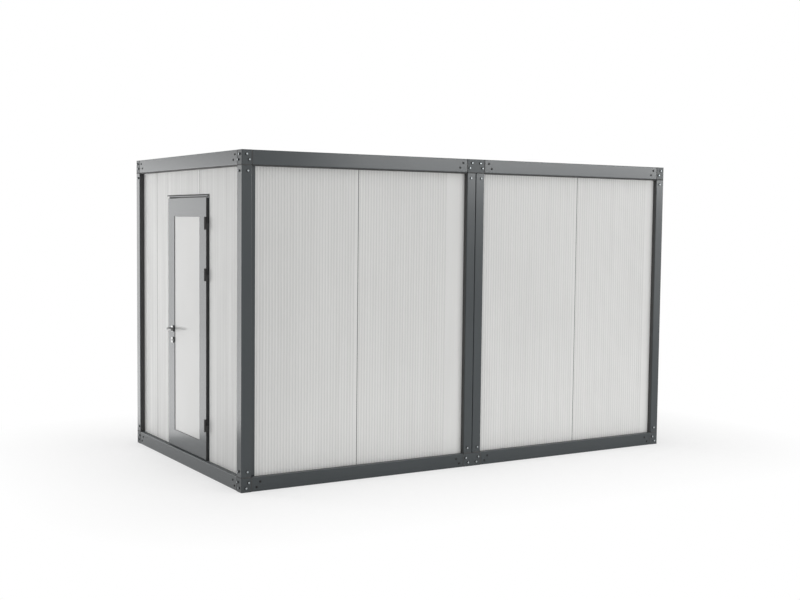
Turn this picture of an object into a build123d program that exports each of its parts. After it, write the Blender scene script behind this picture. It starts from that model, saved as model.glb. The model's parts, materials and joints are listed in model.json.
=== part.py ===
from build123d import *
import os

# Portable site cabin: two steel-framed modules joined at mid length, clad with ribbed
# sandwich panels and entered by one hinged door in the left end.
# Millimetres, +Z up, origin on the ground under the middle of the frame,
# front long wall towards -Y, door end towards -X.

# Steel frame
LENGTH = 4000.0
WIDTH = 2220.0
JOINT_GAP = 5.0
POST = 78.0
FLOOR_RAIL_HEIGHT = 105.0
ROOF_RAIL_HEIGHT = 105.0
STEEL = 3.0
FOLD_RADIUS = 4.0
SHOULDER = 44.0
BLOCK_WALL = 6.0
SEAM = 4.0

# Seal between the two modules
SEAL_INSET = 14.0
SEAL_DEPTH = 30.0

# Floor and roof cassettes, the roof with shallow ribs across its sheet
CASSETTE_BEARING = 40.0
ROOF_DROP = 32.0
ROOF_RIB_PITCH = 238.0
ROOF_RIB_FOOT = 64.0
ROOF_RIB_HEIGHT = 22.0
ROOF_RIB_ANGLE = 60.0

# Sandwich wall panels, with places measured along each wall from its left end
PANEL = 38.0
PANEL_REVEAL = 4.0
TONGUE = 14.0
TONGUE_THICKNESS = 12.0
TONGUE_FIT = 0.4
RIB_PITCH = 24.0
RIB_GROOVE = 11.0
RIB_DEPTH = 1.2
RIB_FLANK_ANGLE = 32.0
RIB_MARGIN = 10.0
FRONT_JOINTS = (962.0, 3062.0)
FRONT_FLATS = (150.0, 90.0)
END_JOINTS = (401.0, 1339.0)

# Door opening and frame
DOOR_OFFSET = 6.0
LEAF_WIDTH = 800.0
LEAF_HEIGHT = 2000.0
LEAF_THICKNESS = 45.0
LEAF_SETBACK = 20.0
LEAF_GAP = 7.0
LEAF_BOTTOM_GAP = 5.0
FRAME_FACE = 11.0
FRAME_PROUD = 4.0
STOP_GAP = 5.0
STOP_DEPTH = 20.0
STOP_OVERLAP = 15.0
THRESHOLD_HEIGHT = 20.0
OVER_DOOR = 207.0

# Door leaf
STILE = 134.0
BOTTOM_RAIL = 134.0
TOP_RAIL = 142.0
LEAF_WALL = 3.0
INFILL = 34.0
INFILL_SETBACK = 4.0
INFILL_GROOVE = 10.0
INFILL_FIT = 0.3

# Door hinges
HINGE_HEIGHT = 90.0
LOW_HINGE_RISE = 266.0
HIGH_HINGE_DROPS = (582.0, 193.0)
HINGE_BARREL = 17.0
HINGE_PIN = 9.0
HINGE_FIT = 0.1
HINGE_SPLIT = 0.5
HINGE_STANDOFF = 10.0
HINGE_SIDESTEP = 3.5
HINGE_WING = 5.0
HINGE_WING_WIDTH = 32.0
HINGE_FOOT = 9.0

# Lever handle and lock
BACKSET = 100.0
LEVER_RISE = 953.0
LEVER_BAR = 19.0
LEVER_LENGTH = 125.0
LEVER_STANDOFF = 60.0
LEVER_BEND = 16.0
LEVER_TIP = 5.0
LEVER_FIT = 0.5
SPINDLE = 9.0
ROSE = 52.0
ROSE_THICKNESS = 9.0
ROSE_EDGE = 2.0
CYLINDER_DROP = 92.0
CYLINDER = 17.0
CYLINDER_PROUD = 3.0
CYLINDER_ROSE = 48.0

# One overrun for every cut that passes through a face
OVERRUN = 5.0

LOW = (Align.MIN, Align.MIN)
half_length = LENGTH / 2
half_width = WIDTH / 2
recess = POST - PANEL
seam_depth = FOLD_RADIUS + STEEL
wall_bottom = FLOOR_RAIL_HEIGHT
leaf_bottom = wall_bottom + LEAF_BOTTOM_GAP
leaf_top = leaf_bottom + LEAF_HEIGHT
opening_top = leaf_top + LEAF_GAP
frame_top = opening_top + FRAME_FACE
wall_top = frame_top + OVER_DOOR
wall_height = wall_top - wall_bottom
cabin_height = wall_top + ROOF_RAIL_HEIGHT
module_end = half_length - JOINT_GAP / 2
joint_block_width = 2 * POST + JOINT_GAP

# Each wall's plan plane starts at its left end as seen from outside, x along, y inwards
front = Plane((-half_length, -half_width, 0), x_dir=(1, 0, 0), z_dir=(0, 0, 1))
far_end = Plane((half_length, -half_width, 0), x_dir=(0, 1, 0), z_dir=(0, 0, 1))
back = Plane((half_length, half_width, 0), x_dir=(-1, 0, 0), z_dir=(0, 0, 1))
door_end = Plane((-half_length, half_width, 0), x_dir=(0, -1, 0), z_dir=(0, 0, 1))

os.makedirs("parts", exist_ok=True)


def save(part, name):
    """Label a finished piece and write it under its node's name."""
    part.label = name
    export_step(part, f"parts/{name}.step")


def joined(pieces):
    """Several like pieces of one node, kept as separate solids."""
    with BuildPart() as group:
        for piece in pieces:
            add(piece)
    return group.part


def cross_plane(wall, along):
    """The upright plane across a wall: x inwards, y up, facing along the wall."""
    return Plane(wall.origin + wall.x_dir * along, x_dir=wall.y_dir, z_dir=wall.x_dir)


def face_plane(wall, depth):
    """The upright plane parallel to a wall at a depth: x along, y up, facing out."""
    return Plane(wall.origin + wall.y_dir * depth, x_dir=wall.x_dir, z_dir=-wall.y_dir)


# Posts: square tubes of folded steel, two of them with a shoulder for the first panel.
# Their outer faces stop short of the blocks at both ends, which leaves a dark seam.
def post(wall, along, corner, shoulder=0.0):
    with BuildPart() as tube:
        with BuildSketch(wall.offset(wall_bottom)) as section:
            with Locations((along, 0)):
                Rectangle(POST, POST, align=LOW)
            if shoulder:
                with Locations((along, recess)):
                    Rectangle(POST + shoulder, PANEL, align=LOW)
            fillet(section.vertices().group_by(Axis.Y)[0], FOLD_RADIUS)
            offset(amount=-STEEL, kind=Kind.INTERSECTION, mode=Mode.SUBTRACT)
        extrude(amount=wall_height)
        for level in (wall_bottom, wall_top - SEAM):
            with BuildSketch(wall.offset(level)):
                with Locations((along - OVERRUN, -OVERRUN)):
                    Rectangle(POST + 2 * OVERRUN, seam_depth + OVERRUN, align=LOW)
                    if corner:
                        Rectangle(seam_depth + OVERRUN, POST + 2 * OVERRUN, align=LOW)
            extrude(amount=SEAM, mode=Mode.SUBTRACT)
    return tube.part


save(post(front, 0, True, SHOULDER), "corner_post_front_left")
save(post(far_end, 0, True), "corner_post_front_right")
save(post(back, 0, True, SHOULDER), "corner_post_back_right")
save(post(door_end, 0, True), "corner_post_back_left")
joint_post_places = (module_end - POST, module_end + JOINT_GAP)
for side, wall in (("front", front), ("back", back)):
    posts = [post(wall, place, False) for place in joint_post_places]
    save(joined(posts), f"{side}_joint_posts")


# Rails: folded channels that open inwards, with the same seam between web and block
def rail(wall, start, end, bottom, height):
    with BuildPart() as channel:
        with BuildSketch(cross_plane(wall, start)) as section:
            with Locations((0, bottom)):
                Rectangle(POST, height, align=LOW)
            with Locations((STEEL, bottom + STEEL)):
                Rectangle(POST, height - 2 * STEEL, align=LOW, mode=Mode.SUBTRACT)
            fillet(section.vertices().group_by(Axis.X)[0], FOLD_RADIUS)
        extrude(amount=end - start)
        for place in (start, end - SEAM):
            with BuildSketch(cross_plane(wall, place)):
                with Locations((-OVERRUN, bottom - OVERRUN)):
                    Rectangle(seam_depth + OVERRUN, height + 2 * OVERRUN, align=LOW)
            extrude(amount=SEAM, mode=Mode.SUBTRACT)
    return channel.part


long_spans = ((POST, module_end - POST), (module_end + JOINT_GAP + POST, LENGTH - POST))
levels = (("floor", 0, FLOOR_RAIL_HEIGHT), ("roof", wall_top, ROOF_RAIL_HEIGHT))
joint_walls = (
    Plane((-JOINT_GAP / 2, -half_width, 0), x_dir=(0, 1, 0), z_dir=(0, 0, 1)),
    Plane((JOINT_GAP / 2, half_width, 0), x_dir=(0, -1, 0), z_dir=(0, 0, 1)),
)
for level, bottom, height in levels:
    for side, wall in (("front", front), ("back", back)):
        rails = [rail(wall, start, end, bottom, height) for start, end in long_spans]
        save(joined(rails), f"{side}_{level}_rails")
    for side, wall in (("door_end", door_end), ("far_end", far_end)):
        save(rail(wall, POST, WIDTH - POST, bottom, height), f"{side}_{level}_rail")
    beams = [rail(wall, POST, WIDTH - POST, bottom, height) for wall in joint_walls]
    save(joined(beams), f"joint_{level}_beams")


# Corner and joint blocks: open boxes that the posts and rails butt against
def block(wall, along, width, bottom, height, open_side):
    with BuildPart() as box:
        with BuildSketch(wall.offset(bottom)):
            with Locations((along, 0)):
                Rectangle(width, POST, align=LOW)
        extrude(amount=height)
        outer_corner = wall.origin + wall.x_dir * along
        outer_edges = box.edges().filter_by(Axis.Z).sort_by_distance(outer_corner)
        fillet(outer_edges[0], FOLD_RADIUS)
        pocket_end = along + width + (OVERRUN if open_side else -BLOCK_WALL)
        pocket_start = along + BLOCK_WALL
        with BuildSketch(wall.offset(bottom + BLOCK_WALL)):
            with Locations((pocket_start, BLOCK_WALL)):
                Rectangle(pocket_end - pocket_start, POST, align=LOW)
        extrude(amount=height - 2 * BLOCK_WALL, mode=Mode.SUBTRACT)
    return box.part


corner_walls = (front, far_end, back, door_end)
for level, bottom, height in levels:
    name = "bottom" if level == "floor" else "top"
    corner_blocks = [block(wall, 0, POST, bottom, height, True) for wall in corner_walls]
    save(joined(corner_blocks), f"{name}_corner_blocks")
    joint_blocks = [
        block(wall, module_end - POST, joint_block_width, bottom, height, False)
        for wall in (front, back)
    ]
    save(joined(joint_blocks), f"{name}_joint_blocks")

# Rubber strips that close the gap between the two modules
seal_run = WIDTH - 2 * POST
with BuildPart() as joint_seals:
    with BuildSketch(Plane.YZ.offset(-JOINT_GAP / 2)):
        for across in (SEAL_INSET - half_width, half_width - SEAL_INSET - SEAL_DEPTH):
            with Locations((across, wall_bottom)):
                Rectangle(SEAL_DEPTH, wall_height, align=LOW)
        for top in (FLOOR_RAIL_HEIGHT, cabin_height):
            lift = top - SEAL_INSET - SEAL_DEPTH
            with Locations((-seal_run / 2, lift)):
                Rectangle(seal_run, SEAL_DEPTH, align=LOW)
    extrude(amount=JOINT_GAP)
save(joint_seals.part, "joint_seals")


# Floor and roof cassettes, seated on the lower flanges of the long rails
def cassette(start, end, bottom, height):
    with BuildPart() as slab:
        with BuildSketch(front.offset(bottom + STEEL)):
            with Locations((start, POST - CASSETTE_BEARING)):
                Rectangle(end - start, WIDTH - 2 * POST + 2 * CASSETTE_BEARING, align=LOW)
        extrude(amount=height)
    return slab.part


def roof_ribs(start, end, lift):
    """Ribs across the roof sheet, evenly spaced about the middle of its cassette."""
    rib_count = int((end - start) // ROOF_RIB_PITCH)
    first_rib = (start + end - (rib_count - 1) * ROOF_RIB_PITCH) / 2
    places = [(first_rib + ROOF_RIB_PITCH * number, lift) for number in range(rib_count)]
    with BuildPart() as ribs:
        with BuildSketch(face_plane(front, POST)):
            with Locations(*places):
                Trapezoid(
                    ROOF_RIB_FOOT, ROOF_RIB_HEIGHT, ROOF_RIB_ANGLE,
                    align=(Align.CENTER, Align.MIN),
                )
        extrude(amount=-(WIDTH - 2 * POST))
    return ribs.part


floor_depth = FLOOR_RAIL_HEIGHT - 2 * STEEL
roof_depth = ROOF_RAIL_HEIGHT - 2 * STEEL - ROOF_DROP
floor_slabs = [cassette(start, end, 0, floor_depth) for start, end in long_spans]
save(joined(floor_slabs), "floor_cassettes")
roof_slabs = [cassette(start, end, wall_top, roof_depth) for start, end in long_spans]
roof_top = wall_top + STEEL + roof_depth
ribs = [roof_ribs(start, end, roof_top) for start, end in long_spans]
save(joined(roof_slabs + ribs), "roof_cassettes")


# Wall panels: ribbed sandwich panels with a tongue and a groove at their joints
def wall_panel(
    wall, start, end, bottom=wall_bottom, groove=False, tongue=False, ribs_from=None, flat=0.0
):
    datum = start if ribs_from is None else ribs_from
    rib_count = int((end - flat - datum) // RIB_PITCH)
    middles = [datum + RIB_PITCH * (number + 1 / 2) for number in range(rib_count)]
    rib_places = [(middle, recess) for middle in middles if middle > start + RIB_MARGIN]
    mid_depth = recess + PANEL / 2
    with BuildPart() as panel:
        with BuildSketch(wall.offset(bottom)):
            with Locations((start, recess)):
                Rectangle(end - start, PANEL, align=LOW)
            with Locations(*rib_places):
                Trapezoid(
                    RIB_GROOVE, RIB_DEPTH, RIB_FLANK_ANGLE,
                    align=(Align.CENTER, Align.MIN), mode=Mode.SUBTRACT,
                )
            if tongue:
                with Locations((end, mid_depth)):
                    Rectangle(TONGUE, TONGUE_THICKNESS, align=(Align.MIN, Align.CENTER))
            if groove:
                with Locations((start, mid_depth)):
                    Rectangle(
                        TONGUE, TONGUE_THICKNESS + 2 * TONGUE_FIT,
                        align=(Align.MIN, Align.CENTER), mode=Mode.SUBTRACT,
                    )
        extrude(amount=wall_top - bottom)
    return panel.part


half_reveal = PANEL_REVEAL / 2
for side, wall in (("front", front), ("back", back)):
    first_joint, second_joint = FRONT_JOINTS
    first_flat, second_flat = FRONT_FLATS
    left_bay = (
        wall_panel(wall, POST + SHOULDER, first_joint - half_reveal, tongue=True),
        wall_panel(wall, first_joint + half_reveal, module_end - POST, groove=True, flat=first_flat),
    )
    right_bay = (
        wall_panel(wall, module_end + JOINT_GAP + POST, second_joint - half_reveal, tongue=True),
        wall_panel(wall, second_joint + half_reveal, LENGTH - POST, groove=True, flat=second_flat),
    )
    if side == "front":
        for number, panel in enumerate(left_bay + right_bay):
            save(panel, f"front_wall_panel_{number + 1}")
    else:
        save(joined(left_bay), "back_wall_panels_left_bay")
        save(joined(right_bay), "back_wall_panels_right_bay")

left_joint, right_joint = END_JOINTS
far_end_panels = (
    wall_panel(far_end, POST, left_joint - half_reveal, tongue=True),
    wall_panel(far_end, left_joint + half_reveal, right_joint - half_reveal, groove=True, tongue=True),
    wall_panel(far_end, right_joint + half_reveal, WIDTH - POST, groove=True),
)
save(joined(far_end_panels), "far_end_wall_panels")

# Doorway, measured along the door end
leaf_left = half_width + DOOR_OFFSET - LEAF_WIDTH / 2
leaf_right = leaf_left + LEAF_WIDTH
leaf_inside = LEAF_SETBACK + LEAF_THICKNESS
opening_left = leaf_left - LEAF_GAP
opening_right = leaf_right + LEAF_GAP
frame_left = opening_left - FRAME_FACE
frame_right = opening_right + FRAME_FACE
frame_front = recess - FRAME_PROUD
stop_front = leaf_inside + STOP_GAP
stop_back = stop_front + STOP_DEPTH

save(wall_panel(door_end, POST, left_joint - half_reveal, tongue=True), "door_end_far_panel")
lock_side = wall_panel(door_end, left_joint + half_reveal, frame_left, groove=True)
save(lock_side, "door_end_lock_side_panel")
hinge_side = wall_panel(door_end, frame_right, WIDTH - POST, ribs_from=right_joint + half_reveal)
save(hinge_side, "door_end_hinge_side_panel")
over_door = (
    wall_panel(
        door_end, frame_left, right_joint - half_reveal,
        bottom=frame_top, tongue=True, ribs_from=left_joint + half_reveal,
    ),
    wall_panel(door_end, right_joint + half_reveal, frame_right, bottom=frame_top, groove=True),
)
save(joined(over_door), "door_end_over_door_panels")


# Door frame: jambs and head with a stop behind the leaf, and a threshold bar
def jamb(outer, inner, stop_edge):
    with BuildPart() as upright:
        with BuildSketch(door_end.offset(wall_bottom)):
            with Locations((min(outer, inner), frame_front)):
                Rectangle(abs(inner - outer), stop_back - frame_front, align=LOW)
            with Locations((min(inner, stop_edge), stop_front)):
                Rectangle(abs(stop_edge - inner), STOP_DEPTH, align=LOW)
        extrude(amount=opening_top - wall_bottom)
    return upright.part


stop_left = leaf_left + STOP_OVERLAP
stop_right = leaf_right - STOP_OVERLAP
jambs = (jamb(frame_left, opening_left, stop_left), jamb(frame_right, opening_right, stop_right))
save(joined(jambs), "door_frame_jambs")

with BuildPart() as door_head:
    with BuildSketch(cross_plane(door_end, frame_left)):
        with Locations((frame_front, opening_top)):
            Rectangle(stop_back - frame_front, FRAME_FACE, align=LOW)
    extrude(amount=frame_right - frame_left)
    with BuildSketch(cross_plane(door_end, stop_left)):
        with Locations((stop_front, leaf_top - STOP_OVERLAP)):
            Rectangle(STOP_DEPTH, LEAF_GAP + STOP_OVERLAP, align=LOW)
    extrude(amount=stop_right - stop_left)
save(door_head.part, "door_frame_head")

with BuildPart() as threshold:
    with BuildSketch(cross_plane(door_end, stop_left)):
        with Locations((stop_front, wall_bottom)):
            Rectangle(STOP_DEPTH, THRESHOLD_HEIGHT, align=LOW)
    extrude(amount=stop_right - stop_left)
save(threshold.part, "door_threshold")

# Door leaf: hollow stiles and rails round a flush infill held in their grooves
infill_front = LEAF_SETBACK + INFILL_SETBACK
spindle_along = leaf_left + BACKSET
lever_height = leaf_bottom + LEVER_RISE
cylinder_height = lever_height - CYLINDER_DROP


def stile(outer, inner):
    """A hollow upright, grooved along its inner edge."""
    inwards = 1 if inner > outer else -1
    chamber = STILE - INFILL_GROOVE - 2 * LEAF_WALL
    chamber_middle = outer + inwards * (LEAF_WALL + chamber / 2)
    groove_middle = inner - inwards * INFILL_GROOVE / 2
    with BuildPart() as upright:
        with BuildSketch(door_end.offset(leaf_bottom)):
            with Locations(((outer + inner) / 2, LEAF_SETBACK + LEAF_THICKNESS / 2)):
                Rectangle(STILE, LEAF_THICKNESS)
            with Locations((chamber_middle, LEAF_SETBACK + LEAF_THICKNESS / 2)):
                Rectangle(chamber, LEAF_THICKNESS - 2 * LEAF_WALL, mode=Mode.SUBTRACT)
            with Locations((groove_middle, infill_front + INFILL / 2)):
                Rectangle(INFILL_GROOVE, INFILL, mode=Mode.SUBTRACT)
        extrude(amount=LEAF_HEIGHT)
    return upright.part


def leaf_rail(outer, inner):
    """A hollow crossbar between the stiles, grooved along its inner edge."""
    inwards = 1 if inner > outer else -1
    depth = abs(inner - outer)
    chamber = depth - INFILL_GROOVE - 2 * LEAF_WALL
    chamber_middle = outer + inwards * (LEAF_WALL + chamber / 2)
    groove_middle = inner - inwards * INFILL_GROOVE / 2
    with BuildPart() as crossbar:
        with BuildSketch(cross_plane(door_end, leaf_left + STILE)):
            with Locations((LEAF_SETBACK + LEAF_THICKNESS / 2, (outer + inner) / 2)):
                Rectangle(LEAF_THICKNESS, depth)
            with Locations((LEAF_SETBACK + LEAF_THICKNESS / 2, chamber_middle)):
                Rectangle(LEAF_THICKNESS - 2 * LEAF_WALL, chamber, mode=Mode.SUBTRACT)
            with Locations((infill_front + INFILL / 2, groove_middle)):
                Rectangle(INFILL, INFILL_GROOVE, mode=Mode.SUBTRACT)
        extrude(amount=LEAF_WIDTH - 2 * STILE)
    return crossbar.part


with BuildPart() as door_stiles:
    add(stile(leaf_left, leaf_left + STILE))
    add(stile(leaf_right, leaf_right - STILE))
    with BuildSketch(face_plane(door_end, LEAF_SETBACK - OVERRUN)):
        with Locations((spindle_along, lever_height)):
            Circle(SPINDLE / 2 + LEVER_FIT)
        with Locations((spindle_along, cylinder_height)):
            Circle(CYLINDER / 2 + LEVER_FIT)
    extrude(amount=-(LEAF_THICKNESS + 2 * OVERRUN), mode=Mode.SUBTRACT)
save(door_stiles.part, "door_leaf_stiles")

bottom_rail = leaf_rail(leaf_bottom, leaf_bottom + BOTTOM_RAIL)
top_rail = leaf_rail(leaf_top, leaf_top - TOP_RAIL)
save(joined((bottom_rail, top_rail)), "door_leaf_rails")

infill_reach = INFILL_GROOVE - INFILL_FIT
with BuildPart() as infill:
    with BuildSketch(face_plane(door_end, infill_front + INFILL_FIT)):
        with Locations((leaf_left + STILE - infill_reach, leaf_bottom + BOTTOM_RAIL - infill_reach)):
            Rectangle(
                LEAF_WIDTH - 2 * STILE + 2 * infill_reach,
                LEAF_HEIGHT - BOTTOM_RAIL - TOP_RAIL + 2 * infill_reach,
                align=LOW,
            )
    extrude(amount=-(INFILL - 2 * INFILL_FIT))
save(infill.part, "door_leaf_infill")

# Barrel hinges: the lower knuckle and its pin on the jamb, the upper one on the leaf
hinge_along = leaf_right + HINGE_SIDESTEP
hinge_depth = LEAF_SETBACK - HINGE_STANDOFF
knuckle = (HINGE_HEIGHT - HINGE_SPLIT) / 2
hinge_centres = [leaf_bottom + LOW_HINGE_RISE] + [leaf_top - drop for drop in HIGH_HINGE_DROPS]
with BuildPart() as hinge_frame_halves:
    for centre in hinge_centres:
        with BuildSketch(door_end.offset(centre - HINGE_HEIGHT / 2)):
            with Locations((hinge_along, hinge_depth)):
                Circle(HINGE_BARREL / 2)
            with Locations((opening_right, hinge_depth)):
                Rectangle(HINGE_FOOT, frame_front - hinge_depth, align=LOW)
        extrude(amount=knuckle)
        with BuildSketch(door_end.offset(centre - HINGE_HEIGHT / 2)):
            with Locations((hinge_along, hinge_depth)):
                Circle(HINGE_PIN / 2)
        extrude(amount=HINGE_HEIGHT)
save(hinge_frame_halves.part, "hinge_frame_halves")

with BuildPart() as hinge_leaf_halves:
    for centre in hinge_centres:
        with BuildSketch(door_end.offset(centre + HINGE_SPLIT / 2)):
            with Locations((hinge_along, LEAF_SETBACK - HINGE_WING)):
                Rectangle(HINGE_WING_WIDTH, HINGE_WING, align=(Align.MAX, Align.MIN))
            with Locations((hinge_along, hinge_depth)):
                Circle(HINGE_BARREL / 2)
                Circle(HINGE_PIN / 2 + HINGE_FIT, mode=Mode.SUBTRACT)
        extrude(amount=knuckle)
save(hinge_leaf_halves.part, "hinge_leaf_halves")


# Roses on both faces of the leaf, the lock cylinder between its roses, and the lever set
def rose(face, outwards, height, diameter, bore):
    with BuildPart() as disc:
        with BuildSketch(face_plane(door_end, face)):
            with Locations((spindle_along, height)):
                Circle(diameter / 2)
        extrude(amount=outwards * ROSE_THICKNESS)
        rim = disc.faces().sort_by(Axis((0, 0, 0), -door_end.y_dir * outwards))[-1].edges()
        chamfer(rim, ROSE_EDGE)
        with BuildSketch(face_plane(door_end, face)):
            with Locations((spindle_along, height)):
                Circle(bore / 2)
        extrude(amount=outwards * ROSE_THICKNESS, mode=Mode.SUBTRACT)
    return disc.part


lever_bore = LEVER_BAR + 2 * LEVER_FIT
cylinder_bore = CYLINDER + 2 * LEVER_FIT
roses = []
for face, outwards in ((LEAF_SETBACK, 1), (leaf_inside, -1)):
    roses.append(rose(face, outwards, lever_height, ROSE, lever_bore))
    roses.append(rose(face, outwards, cylinder_height, CYLINDER_ROSE, cylinder_bore))
save(joined(roses), "handle_roses")

cylinder_front = LEAF_SETBACK - ROSE_THICKNESS - CYLINDER_PROUD
cylinder_length = LEAF_THICKNESS + 2 * (ROSE_THICKNESS + CYLINDER_PROUD)
with BuildPart() as lock_cylinder:
    with BuildSketch(face_plane(door_end, cylinder_front)):
        with Locations((spindle_along, cylinder_height)):
            Circle(CYLINDER / 2)
    extrude(amount=-cylinder_length)
save(lock_cylinder.part, "lock_cylinder")

lever_start = LEAF_SETBACK - LEVER_FIT
lever_reach = LEAF_SETBACK - LEVER_STANDOFF + LEVER_BAR / 2
with BuildPart() as lever_set:
    with BuildLine(door_end.offset(lever_height)) as lever_path:
        FilletPolyline(
            (spindle_along, lever_start),
            (spindle_along, lever_reach),
            (spindle_along - LEVER_BAR / 2 + LEVER_LENGTH, lever_reach),
            radius=LEVER_BEND,
        )
    with BuildSketch(face_plane(door_end, lever_start)):
        with Locations((spindle_along, lever_height)):
            Circle(LEVER_BAR / 2)
    sweep(path=lever_path.line)
    tip = lever_set.faces().sort_by(Axis((0, 0, 0), door_end.x_dir))[-1].edges()
    chamfer(tip, LEVER_TIP)
    mirror(about=face_plane(door_end, LEAF_SETBACK + LEAF_THICKNESS / 2))
    with BuildSketch(face_plane(door_end, lever_start)):
        with Locations((spindle_along, lever_height)):
            Circle(SPINDLE / 2)
    extrude(amount=-(LEAF_THICKNESS + 2 * LEVER_FIT))
save(lever_set.part, "lever_handles")
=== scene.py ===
import json
from math import cos, pi, radians, sin

import bmesh
import bpy
from mathutils import Matrix, Vector


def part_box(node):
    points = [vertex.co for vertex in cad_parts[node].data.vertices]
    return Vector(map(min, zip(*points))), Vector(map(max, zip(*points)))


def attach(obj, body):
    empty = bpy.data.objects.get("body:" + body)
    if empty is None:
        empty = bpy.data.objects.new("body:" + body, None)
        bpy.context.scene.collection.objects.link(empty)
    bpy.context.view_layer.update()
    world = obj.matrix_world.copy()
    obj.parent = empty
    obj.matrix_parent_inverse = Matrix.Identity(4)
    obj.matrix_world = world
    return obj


# A portable site cabin: finishes for the CAD nodes, the fasteners, seals and lock fittings on them,
# and a white studio round them. Metres throughout, as in the frame.
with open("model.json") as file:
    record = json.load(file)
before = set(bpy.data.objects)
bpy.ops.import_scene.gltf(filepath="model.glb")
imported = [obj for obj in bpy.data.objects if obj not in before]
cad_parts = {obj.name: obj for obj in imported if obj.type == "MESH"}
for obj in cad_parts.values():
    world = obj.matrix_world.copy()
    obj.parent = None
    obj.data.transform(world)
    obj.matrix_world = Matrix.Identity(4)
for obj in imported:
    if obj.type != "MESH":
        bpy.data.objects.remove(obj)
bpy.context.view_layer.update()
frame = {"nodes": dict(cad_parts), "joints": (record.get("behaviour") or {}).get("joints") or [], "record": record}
nodes = frame["nodes"]
MM = 0.001

# Camera of the photograph
CAMERA_PLACE = Vector((-5.401, -8.812, 1.952))
CAMERA_YAW = radians(31.452)
CAMERA_PITCH = radians(3.826)
CAMERA_ROLL = 0.01089
CAMERA_LENS = 53.376
CAMERA_SENSOR = 36.0

# Bolts: pairs on every block and rail end, one on every post end, measured from their edges
BLOCK_BOLTS = ((37 * MM, 31 * MM), (58 * MM, 70 * MM))
RAIL_BOLTS = ((43 * MM, 32 * MM), (71 * MM, 70 * MM))
POST_BOLT = (46 * MM, 44 * MM)

# Fastener sizes: washer radius and height, sides, radius and height of the head, crown height
FRAME_BOLT = (10.5 * MM, 1.5 * MM, 6, 7.8 * MM, 6.5 * MM, 0.9 * MM)
RAIL_BOLT = (9.0 * MM, 0.8 * MM, 20, 6.5 * MM, 2.0 * MM, 1.2 * MM)
HINGE_SCREW = (3.9 * MM, 0.4 * MM, 16, 3.2 * MM, 0.5 * MM, 0.5 * MM)
PLATE_SCREW = (4.2 * MM, 0.2 * MM, 16, 3.4 * MM, 0.2 * MM, 0.3 * MM)
WASHER_SIDES = 24
WASHER_TAPER = 0.92
CROWN_TAPER = 0.66

# Rubber seals on the frame's returns, the leaf's edge, both faces of the infill and the stops; the black of those
# on the returns and under the roof rails is also painted shade
RETURN_SHADE_SEAL_START = 6 * MM
RETURN_SHADE_SEAL = 2.2 * MM
TOP_SEAL = 9 * MM
LEAF_SEAL = 2.0 * MM
LEAF_SEAL_INSET = 1.5 * MM
GLAZING_SEAL = 2.0 * MM
GLAZING_SEAL_START = 1.0 * MM
STOP_SEAL = 3.5 * MM
STOP_SEAL_WIDTH = 8 * MM
STOP_SEAL_MARGIN = 3 * MM

# Rubber on the door frame's head: a rain bead above it, whose black also stands in for the shade over the head,
# and a lip on its face and a leg at one end, black strips painted as the shadow gaps round the leaf
HEAD_SEAL = 3.5 * MM
HEAD_SEAL_WIDTH = 10 * MM
HEAD_SEAL_OVERHANG = 50 * MM
HEAD_FACE = 11 * MM
HEAD_SHADE_LIP = 4 * MM
HEAD_SHADE_LIP_PROUD = 1 * MM
HEAD_SHADE_LEG = 30 * MM

# Sealant over the seams between blocks, rails and posts
SEAM = 4 * MM
RAIL_BEAD = 9 * MM
POST_BEAD = 9 * MM
BEAD_PROUD = 0.8 * MM
BEAD_INSET = 4 * MM

# Gaskets in the reveals between wall panels
PANEL_REVEAL = 4 * MM
GASKET_PROUD = 0.6 * MM
GASKET_WIDTH = 5.4 * MM
END_RIGHT_JOINT = 1339 * MM

# Steps round a quarter of a strip's lip and round a half-round bead
LIP_STEPS = 5
BEAD_STEPS = 8

# Hinge caps and screws
HINGE_CAP = 4 * MM
HINGE_CAP_STEPS = 6
HINGE_CAP_SIDES = 32
HINGE_SCREW_SPREAD = 24 * MM
HINGE_SCREW_INSET = 8 * MM
HINGE_LEVEL_DIGITS = 5

# Lock: key plugs in the cylinder, a face plate on the leaf and a strike plate on the jamb
KEY_PLUG = 6.2 * MM
KEY_PLUG_PROUD = 0.8 * MM
KEY_PLUG_SIDES = 32
KEY_SLOT_WIDTH = 1.6 * MM
KEY_SLOT_HEIGHT = 8.6 * MM
KEY_SLOT_DEPTH = 3.0 * MM
PLATE_WIDTH = 20 * MM
PLATE_END_STEPS = 8
FACE_PLATE_HEIGHT = 235 * MM
FACE_PLATE = 1.5 * MM
STRIKE_HEIGHT = 170 * MM
STRIKE_PLATE = 1.2 * MM
LATCH_HEIGHT = 18 * MM
LATCH_WIDTH = 12 * MM
LATCH_PROUD = 2.5 * MM
LATCH_TIP = 0.5 * MM
PLATE_SCREW_INSET = 12 * MM

# Sizes read from the frame
blocks_low, blocks_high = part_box("bottom_corner_blocks")
top_low, top_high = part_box("top_corner_blocks")
post_low, post_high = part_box("corner_post_back_left")
joint_low, joint_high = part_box("front_joint_posts")
panel_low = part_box("front_wall_panel_1")[0]
POST = post_high.y - post_low.y
JOINT_GAP = joint_high.x - joint_low.x - 2 * POST
FLOOR_RAIL = blocks_high.z
WALL_TOP = top_low.z
HEIGHT = top_high.z
LENGTH = blocks_high.x - blocks_low.x
WIDTH = blocks_high.y - blocks_low.y
RECESS = panel_low.y - blocks_low.y

# Depths of the rib grooves below the panels' outer faces
GROOVE_TOP = 0.3 * MM
GROOVE_FLOOR = 2.5 * MM

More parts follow.
